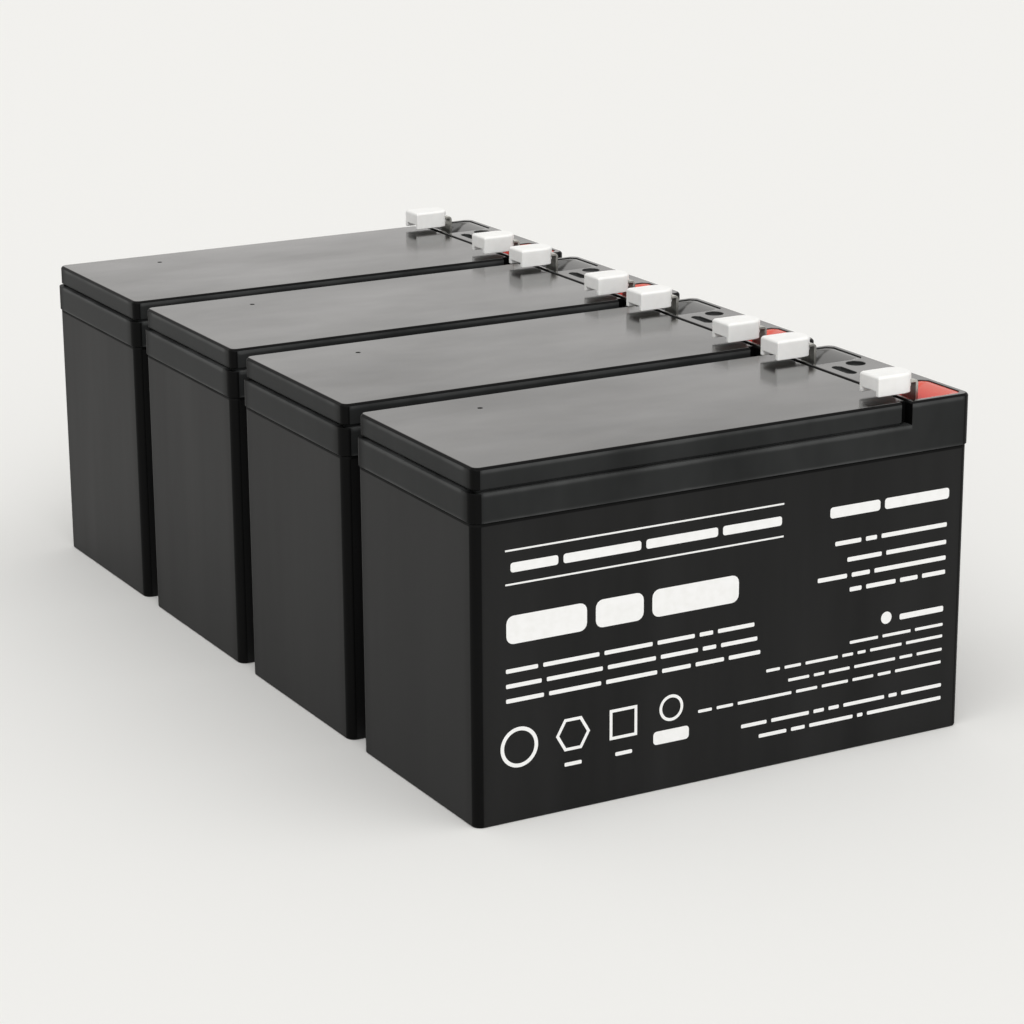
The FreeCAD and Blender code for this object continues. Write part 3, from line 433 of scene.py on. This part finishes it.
# width of each edge rounding in mm, steps across it, the least turn in degrees that is rounded, the
# record's material slot, the zones of a piece that are finished another way, and the planes where its
# faces are split, so that no flat face has a hole inside it: mm from the block's middle, or up for Z
finishedPieces = {
    "jar": {"width": 0.5, "steps": 3, "turn": 30, "slot": "jar_plastic",
            "zones": ["corners", "lidShadowLine"], "splits": [("Z", 79.1)]},
    "lid": {"width": 0.25, "steps": 3, "turn": 30, "slot": "lid_plastic",
            "zones": ["corners", "flatTop", "shadedCoverJoint"],
            "splits": [("Y", -22.25), ("Y", 9.0), ("Y", 22.25)]},
    "top_cover": {"width": 0.22, "steps": 4, "turn": 30, "slot": "cover_plastic",
                  "zones": ["corners", "flatTop", "shadedCoverJoint"], "splits": [("X", -45.0)]},
    "positive_tab": {"width": 0.12, "steps": 2, "turn": 30, "slot": "tinned_tab"},
    "negative_tab": {"width": 0.12, "steps": 2, "turn": 30, "slot": "tinned_tab"},
    "positive_cap": {"width": 0.3, "steps": 4, "turn": 20, "slot": "cap_plastic"},
    "negative_cap": {"width": 0.3, "steps": 4, "turn": 20, "slot": "cap_plastic"},
}
mergeSettings = {"distance": 0.001, "flatTurn": 0.5}         # mm between points, degrees between faces

zoneSettings = {
    "cornerReach": 3.2,                          # mm in from both outer faces
    "leastTurn": 0.12,                           # share of a corner face's normal along X and along Y
    "upright": 0.1,                              # most share of an upright face's normal along Z
    "bevelSlope": 0.707, "bevelSpread": 0.1,     # the same for the bevel of the flat top, give or take
    "topDepth": 0.01,                            # mm within which a face lies on the flat top
    "lidShadowLine": (79.1, 80.0),                    # mm up the jar: a dark line painted as the shadow under the lid's overhang
    "shadedCoverJoint": (53.0, 56.0),                  # mm along the block: painted shadow in the joint between cover and raised end
    "jointInset": 1.0, "jointAbove": 86.6,       # mm in from the long sides, mm up
    "materials": {"corners": cornerShadePlastic, "flatTop": topPlastic, "lidShadowLine": paintedLidShadow,
                  "shadedCoverJoint": paintedJointShadow},
}


def zoneFaces(mesh, low, high):
    # Which faces lie on the flat top; which on its bevel or on the rounded upright corners (near an
    # end and a side at once, upright, and turned away from both axes), which take painted shade; which
    # on the line of painted shadow under the lid; and which upright faces close the joint and notches
    # where the cover meets the raised end, which take painted shadow.
    middles, normals = np.empty(len(mesh.polygons) * 3), np.empty(len(mesh.polygons) * 3)
    mesh.polygons.foreach_get("center", middles)
    mesh.polygons.foreach_get("normal", normals)
    middles, normals = middles.reshape(-1, 3), np.abs(normals.reshape(-1, 3))
    reach = zoneSettings["cornerReach"] * mm
    fromSides = np.minimum(middles[:, 1] - low.y, high.y - middles[:, 1])
    nearEnds = np.minimum(middles[:, 0] - low.x, high.x - middles[:, 0]) < reach
    nearSides = fromSides < reach
    upright = normals[:, 2] < zoneSettings["upright"]
    turned = (normals[:, :2] > zoneSettings["leastTurn"]).all(axis=1) & upright
    sloping = np.abs(normals[:, 2] - zoneSettings["bevelSlope"]) < zoneSettings["bevelSpread"]
    bevelled = (middles[:, 2] > high.z - reach) & sloping
    shadowLineLow, shadowLineHigh = (height * mm for height in zoneSettings["lidShadowLine"])
    jointStart, jointEnd = (place * mm for place in zoneSettings["shadedCoverJoint"])
    inJoint = (middles[:, 0] > jointStart) & (middles[:, 0] < jointEnd) & upright
    within = fromSides > zoneSettings["jointInset"] * mm
    within &= middles[:, 2] > zoneSettings["jointAbove"] * mm
    return {"corners": nearEnds & nearSides & turned | bevelled,
            "flatTop": middles[:, 2] > high.z - zoneSettings["topDepth"] * mm,
            "lidShadowLine": (middles[:, 2] > shadowLineLow) & (middles[:, 2] < shadowLineHigh),
            "shadedCoverJoint": inJoint & within}


def linkPiece(name, mesh, material):
    piece = bpy.data.objects.new(name, mesh)
    scene.collection.objects.link(piece)
    giveMaterial(piece, material)
    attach(piece, "root")
    return piece


def splitAt(shape, axis, place):
    # cuts every face at a plane square to an axis, and marks the cut so that merging keeps it
    direction = Vector([float(letter == axis) for letter in "XYZ"])
    cut = bmesh.ops.bisect_plane(shape, geom=[*shape.verts, *shape.edges, *shape.faces],
                                 plane_co=direction * place, plane_no=direction)
    for item in cut["geom_cut"]:
        if isinstance(item, bmesh.types.BMEdge):
            item.seam = True


def finishedCopy(kind, number, settings):
    # the node's own solid, merged to whole faces, with every edge sharper than the limit rounded
    source = nodes[f"{kind}_{number}"]
    low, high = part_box(source.name)
    middle = {"X": 0.0, "Y": (low.y + high.y) / 2, "Z": 0.0}
    shape = bmesh.new()
    shape.from_mesh(source.data)
    bmesh.ops.remove_doubles(shape, verts=shape.verts, dist=mergeSettings["distance"] * mm)
    for axis, place in settings.get("splits", []):
        splitAt(shape, axis, middle[axis] + place * mm)
    bmesh.ops.dissolve_limit(shape, angle_limit=math.radians(mergeSettings["flatTurn"]),
                             verts=shape.verts, edges=shape.edges, delimit={"SEAM"})
    mesh = bpy.data.meshes.new(f"finished_{kind}_{number}")
    shape.to_mesh(mesh)
    shape.free()
    mesh.shade_smooth()
    piece = linkPiece(mesh.name, mesh, nodeMaterials[kind])
    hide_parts(source.name)
    zones = zoneFaces(mesh, low, high)
    choice = np.zeros(len(mesh.polygons), dtype=int)
    for index, zone in enumerate(settings.get("zones", []), start=1):
        finish = zoneSettings["materials"][zone]
        mesh.materials.append(finish)
        piece.material_slots[index].link = "OBJECT"
        piece.material_slots[index].material = finish
        choice[zones[zone]] = index
    mesh.polygons.foreach_set("material_index", choice)
    rounding = piece.modifiers.new("edgeRounding", "BEVEL")
    rounding.width = settings["width"] * mm
    rounding.segments = settings["steps"]
    rounding.limit_method = "ANGLE"
    rounding.angle_limit = math.radians(settings["turn"])
    rounding.use_clamp_overlap = False
    rounding.face_strength_mode = "FSTR_ALL"     # the flat faces set the shading at their borders
    evening = piece.modifiers.new("flatFacesStayFlat", "WEIGHTED_NORMAL")
    evening.keep_sharp = False
    evening.use_face_influence = True


for number in blockNumbers:
    for kind, settings in finishedPieces.items():
        finishedCopy(kind, number, settings)
print("moulded pieces finished")

resinSettings = {
    "slots": {"positive_seal": "red_resin", "negative_seal": "black_resin"},
    "rim": 1.1, "troughDepth": resinDepth,       # mm
    "wallSlope": 1.3,                            # mm over which the resin climbs the rim
    "rampFrom": 6.0, "rampTo": 15.4,             # mm from the well's inner end
    "rampStraight": 0.6,                         # share of the ramp that is straight, not eased
    "cutCorner": 1.5,                            # mm cut off the well's corners
    "creepHeight": 0.28, "creepWidth": 0.5,      # mm that the resin creeps up the tab and out from it
    "tabStart": 4.0, "tabEnd": 4.8, "tabHalfWidth": 3.175,       # mm, the tab that stands in the well
    "steps": 56,                                 # faces along each side of the surface
}


def easedStep(value, start, end):
    # cubic step: 0 before start, 1 after end, level at both
    share = np.clip((value - start) / (end - start), 0, 1)
    return share * share * (3 - 2 * share)


def resinSurface(low, high, settings):
    # Height over the well's plan: the rim level less a trough, which is the product of cubic steps in
    # from the inner end and both sides and a long ramp, part straight and part cubic, up to the outer
    # end, plus a creep up the tab that dies away exponentially. Lengths in mm from the low corner.
    steps = settings["steps"]
    length, width = (high.x - low.x) / mm, (high.y - low.y) / mm
    across, along = np.meshgrid(np.linspace(0, length, steps + 1), np.linspace(0, width, steps + 1),
                                indexing="ij")
    fromEnd, fromSide = np.minimum(across, length - across), np.minimum(along, width - along)
    excess = np.maximum(settings["cutCorner"] - fromEnd - fromSide, 0) / 2
    across = across + np.where(across < length / 2, excess, -excess)
    along = along + np.where(along < width / 2, excess, -excess)
    fromSide = np.minimum(along, width - along)
    rim, slope = settings["rim"], settings["wallSlope"]
    ramp = np.clip((across - settings["rampFrom"]) / (settings["rampTo"] - settings["rampFrom"]), 0, 1)
    straight = settings["rampStraight"]
    depth = (easedStep(across, rim, rim + slope) * easedStep(fromSide, rim, rim + slope)
             * (1 - straight * ramp - (1 - straight) * easedStep(ramp, 0, 1)) * settings["troughDepth"])
    tabAcross = np.maximum(np.maximum(settings["tabStart"] - across, across - settings["tabEnd"]), 0)
    tabAlong = np.maximum(np.abs(along - width / 2) - settings["tabHalfWidth"], 0)
    fromTab = np.hypot(tabAcross, tabAlong)
    creep = settings["creepHeight"] * np.exp(-fromTab / settings["creepWidth"])
    height = (high.z - low.z) / mm - np.maximum(depth - creep, 0)
    top = np.stack([across, along, height], -1).reshape(-1, 3)
    order = np.arange((steps + 1) ** 2).reshape(steps + 1, steps + 1)
    quads = np.stack([order[:-1, :-1], order[1:, :-1], order[1:, 1:], order[:-1, 1:]], -1)
    ring = np.concatenate([order[:-1, 0], order[-1, :-1], order[:0:-1, -1], order[0, :0:-1]])
    below = top[ring] * [1, 1, 0]
    foot = np.arange(len(ring)) + len(top)
    walls = np.stack([ring, foot, np.roll(foot, -1), np.roll(ring, -1)], 1)
    points = np.concatenate([top, below]) * mm + np.array(low)
    return points, quads.reshape(-1, 4).tolist() + walls.tolist() + [foot[::-1].tolist()]


# Places on a block's printed face in mm: along from its plain end, up from its base.
printSettings = {
    "filmThickness": 0.05,
    "cornerShare": 0.28,                         # rounding of a bar's corners, as a share of its height
    "cornerPoints": 5,                           # points round each of those corners
    "wordGap": 1.5, "wordGapShare": 0.35,        # least mm between words, and as a share of the height
    # left, right, middle height, thickness
    "rules": [(9.2, 91.6, 72.0, 0.45), (9.2, 91.6, 63.2, 0.45)],
    # left, right, middle height, bar height, shares of the line taken by each word
    "lines": [
        (10.7, 91.0, 67.5, 2.5, (12, 20, 19, 16)),
        (9.4, 78.0, 51.3, 7.4, (23, 14, 26)),
        (9.2, 83.0, 40.6, 1.1, (9, 16, 14, 11, 4, 11)),
        (9.2, 84.0, 36.6, 1.1, (10, 16, 14, 11, 4, 11)),
        (9.2, 85.0, 32.7, 1.1, (10, 14, 14, 8, 8, 9)),
        (106.2, 144.6, 67.2, 3.0, (16, 21)),
        (108.0, 144.2, 58.5, 1.2, (7, 3, 18)),
        (112.0, 144.2, 53.6, 1.2, (9, 16)),
        (102.7, 144.2, 49.2, 1.2, (8, 5, 20)),
        (113.0, 144.2, 45.2, 1.2, (4, 10, 6, 8)),
        (129.6, 144.0, 34.8, 1.6, (1,)),
        (113.5, 144.0, 30.3, 0.8, (10, 10, 10)),
        (87.0, 144.0, 27.0, 0.8, (5, 6, 12, 4, 3, 12, 14)),
        (94.0, 144.0, 23.2, 0.8, (8, 4, 8, 16, 5, 10)),
        (66.0, 143.8, 19.6, 0.8, (5, 6, 20, 8, 10, 8, 5, 18)),
        (79.4, 144.2, 12.9, 1.0, (12, 18, 5, 5, 20, 4, 20)),
        (85.0, 144.2, 9.2, 1.0, (10, 5, 16, 2, 28)),
    ],
    # middle along, middle up, outer radius, stroke, sides, quarter turns
    "outlines": [
        (12.9, 20.0, 5.4, 1.0, 48, 0.0),
        (28.5, 20.6, 5.0, 0.8, 6, 0.0),
        (43.4, 20.8, 5.8, 0.8, 4, 0.5),
        (57.8, 22.2, 3.6, 0.8, 48, 0.0),
    ],
    # left, right, middle height, bar height
    "bars": [(26.0, 31.0, 12.6, 1.0), (41.0, 46.0, 12.6, 1.0), (52.4, 63.2, 14.6, 3.6)],
    # middle along, middle up, radius, sides
    "discs": [(125.2, 35.3, 1.7, 32)],
}


def roundedBar(left, right, middle, height, share):
    # outline: four quarter circles round the corners of a rectangle, anticlockwise
    radius, count = min(height * share, (right - left) / 2), printSettings["cornerPoints"]
    turns = np.radians([np.linspace(start, start + 90, count) for start in (0, 90, 180, 270)]).ravel()
    across = np.repeat([right - radius, left + radius, left + radius, right - radius], count)
    up = np.repeat([middle + height / 2 - radius] * 2 + [middle - height / 2 + radius] * 2, count)
    return np.stack([across + radius * np.cos(turns), up + radius * np.sin(turns)], 1)


def regularOutline(across, up, radius, sides, quarterTurns=0.0):
    # corners of a regular polygon, or of a circle where the sides are many, anticlockwise
    turns = (np.arange(sides) / sides + quarterTurns / 4) * 2 * np.pi
    return np.stack([across + radius * np.cos(turns), up + radius * np.sin(turns)], 1)


def filledFilm(outline):
    # a thin slab over an outline: front ring, back ring, both closed by one face
    count = len(outline)
    ring = np.arange(count)
    walls = np.stack([ring, np.roll(ring, -1), np.roll(ring, -1) + count, ring + count], 1)
    faces = [ring.tolist(), (ring[::-1] + count).tolist()] + walls[:, ::-1].tolist()
    return np.concatenate([np.c_[outline, np.zeros(count)], np.c_[outline, np.ones(count)]]), faces


def strokeFilm(outer, inner):
    # a thin closed band between two outlines with the same number of corners
    count = len(outer)
    ring = np.arange(count)
    after = np.roll(ring, -1)
    loops = [outer, inner, inner, outer]
    depths = [0.0, 0.0, 1.0, 1.0]
    points = np.concatenate([np.c_[loop, np.full(count, depth)] for loop, depth in zip(loops, depths)])
    faces = []
    for index in range(len(loops)):
        here, there = index * count, (index + 1) % len(loops) * count
        faces += np.stack([here + ring, here + after, there + after, there + ring], 1).tolist()
    return points, faces


def printedShapes(settings):
    # a thin film for every rule, word, bar, disc and outline of the print
    share = settings["cornerShare"]
    shapes = [filledFilm(roundedBar(*rule, 0.0)) for rule in settings["rules"]]
    for left, right, middle, height, words in settings["lines"]:
        gap = max(settings["wordGap"], height * settings["wordGapShare"])
        room = right - left - gap * (len(words) - 1)
        ends = np.cumsum(words) / sum(words) * room
        starts = ends - np.array(words) / sum(words) * room
        for index, (start, end) in enumerate(zip(starts, ends)):
            shift = left + gap * index
            shapes.append(filledFilm(roundedBar(shift + start, shift + end, middle, height, share)))
    for left, right, middle, height in settings["bars"]:
        shapes.append(filledFilm(roundedBar(left, right, middle, height, share)))
    for across, up, radius, sides in settings["discs"]:
        shapes.append(filledFilm(regularOutline(across, up, radius, sides)))
    for across, up, radius, stroke, sides, turn in settings["outlines"]:
        inner = radius - stroke / math.cos(math.pi / sides)
        shapes.append(strokeFilm(regularOutline(across, up, radius, sides, turn),
                                 regularOutline(across, up, inner, sides, turn)))
    return shapes


def addPiece(name, points, faces, material, smooth=False):
    mesh = bpy.data.meshes.new(name)
    mesh.from_pydata(points.tolist(), [], faces)
    mesh.validate()
    shape = bmesh.new()
    shape.from_mesh(mesh)
    bmesh.ops.recalc_face_normals(shape, faces=shape.faces)
    shape.to_mesh(mesh)
    shape.free()
    if smooth:
        mesh.shade_smooth()
    return linkPiece(name, mesh, material)


for number in blockNumbers:
    for kind, slotName in resinSettings["slots"].items():
        low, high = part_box(f"{kind}_{number}")
        points, faces = resinSurface(low, high, resinSettings)
        piece = addPiece(f"poured_{kind}_{number}", points, faces, nodeMaterials[kind], True)
        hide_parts(f"{kind}_{number}")
print("resin poured")

shapes = printedShapes(printSettings)
for number in blockNumbers:
    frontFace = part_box(f"jar_{number}")[0].y
    allPoints, allFaces, start = [], [], 0
    for points, faces in shapes:
        placed = np.stack([blockLow.x + points[:, 0] * mm,
                           frontFace - points[:, 2] * printSettings["filmThickness"] * mm,
                           points[:, 1] * mm], 1)
        allPoints.append(placed)
        allFaces += [[corner + start for corner in face] for face in faces]
        start += len(points)
    addPiece(f"printed_face_{number}", np.concatenate(allPoints), allFaces, printInk)
print("printed faces:", len(shapes), "shapes each")

studio = {
    "reach": 6.0,                                # m, half the floor's side
    "floorSeen": "#f0f0ee", "floorFelt": "#c9c9c7",              # to the eye, and to the light
    "roomColour": (1.0, 0.985, 0.965), "roomSeenLevel": 0.92, "roomFeltLevel": 0.62,
    # direction towards each soft sun, its strength and how wide it looks in degrees
    "suns": {
        "highLeft": ((-0.6, -0.25, 1.0), 0.6, 40),
        "highRight": ((0.5, -0.6, 1.1), 0.5, 50),
        "lowFront": ((-0.35, -1.0, 0.4), 0.95, 50),
    },
}


def directlySeen(tree):
    # 1 for rays from the camera, a mirror or glass, 0 for light that is gathered by matt surfaces
    rays = addNode(tree, "ShaderNodeLightPath").outputs
    sharp = addNode(tree, "ShaderNodeMath", {0: rays["Is Camera Ray"], 1: rays["Is Glossy Ray"]},
                    operation="MAXIMUM")
    return addNode(tree, "ShaderNodeMath", {0: sharp, 1: rays["Is Transmission Ray"]},
                   operation="MAXIMUM")


def paleFloor(tree, look):
    # Matt pale paper: near white to look at, and dim enough to the light that it bounces little.
    colour = addNode(tree, "ShaderNodeValToRGB", {"Fac": directlySeen(tree)},
                     [(0.0, look["floorFelt"]), (1.0, look["floorSeen"])])
    return {"Base Color": colour, "Roughness": 0.9, "Specular IOR Level": 0.0}


floorMesh = bpy.data.meshes.new("floor")
reach = studio["reach"]
floorMesh.from_pydata([(-reach, -reach, 0), (reach, -reach, 0), (reach, reach, 0), (-reach, reach, 0)],
                      [], [(0, 1, 2, 3)])
floor = bpy.data.objects.new("floor", floorMesh)
scene.collection.objects.link(floor)
giveMaterial(floor, makeMaterial("palePaperFloor", paleFloor, studio))

world = bpy.data.worlds.new("paleRoom")
scene.world = world
world.use_nodes = True
tree = world.node_tree
tree.nodes.clear()
level = addNode(tree, "ShaderNodeMapRange",
                {"Value": directlySeen(tree), "To Min": studio["roomFeltLevel"],
                 "To Max": studio["roomSeenLevel"]})
sky = addNode(tree, "ShaderNodeBackground",
              {"Color": (*studio["roomColour"], 1), "Strength": level})
addNode(tree, "ShaderNodeOutputWorld", {"Surface": sky})

for name, (towards, strength, width) in studio["suns"].items():
    light = bpy.data.lights.new(name, "SUN")
    light.energy = strength
    light.angle = math.radians(width)
    holder = bpy.data.objects.new(name, light)
    scene.collection.objects.link(holder)
    holder.rotation_euler = Vector(towards).to_track_quat("Z", "Y").to_euler()

cameraSettings = {
    "place": (-406.4, -758.6, 291.7),            # mm, in the part's frame
    "turn": -28.95, "drop": 16.54, "roll": -0.37,                # degrees
    "lens": 105.8, "sensor": 36,                 # mm
    "clip": (0.01, 50),                          # m, the nearest and the farthest that is seen
}
lens = bpy.data.cameras.new("camera")
camera = bpy.data.objects.new("camera", lens)
scene.collection.objects.link(camera)
scene.camera = camera
lens.sensor_width = cameraSettings["sensor"]
lens.lens = cameraSettings["lens"]
lens.clip_start, lens.clip_end = cameraSettings["clip"]
turn, drop = math.radians(-cameraSettings["turn"]), math.radians(cameraSettings["drop"])
ahead = Vector((math.sin(turn) * math.cos(drop), math.cos(turn) * math.cos(drop), -math.sin(drop)))
facing = ahead.to_track_quat("-Z", "Y").to_matrix().to_4x4()
camera.matrix_world = (Matrix.Translation(Vector(cameraSettings["place"]) * mm) @ facing
                       @ Matrix.Rotation(math.radians(cameraSettings["roll"]), 4, "Z"))
scene.view_settings.view_transform = "Standard"
print("floor, light and camera set")
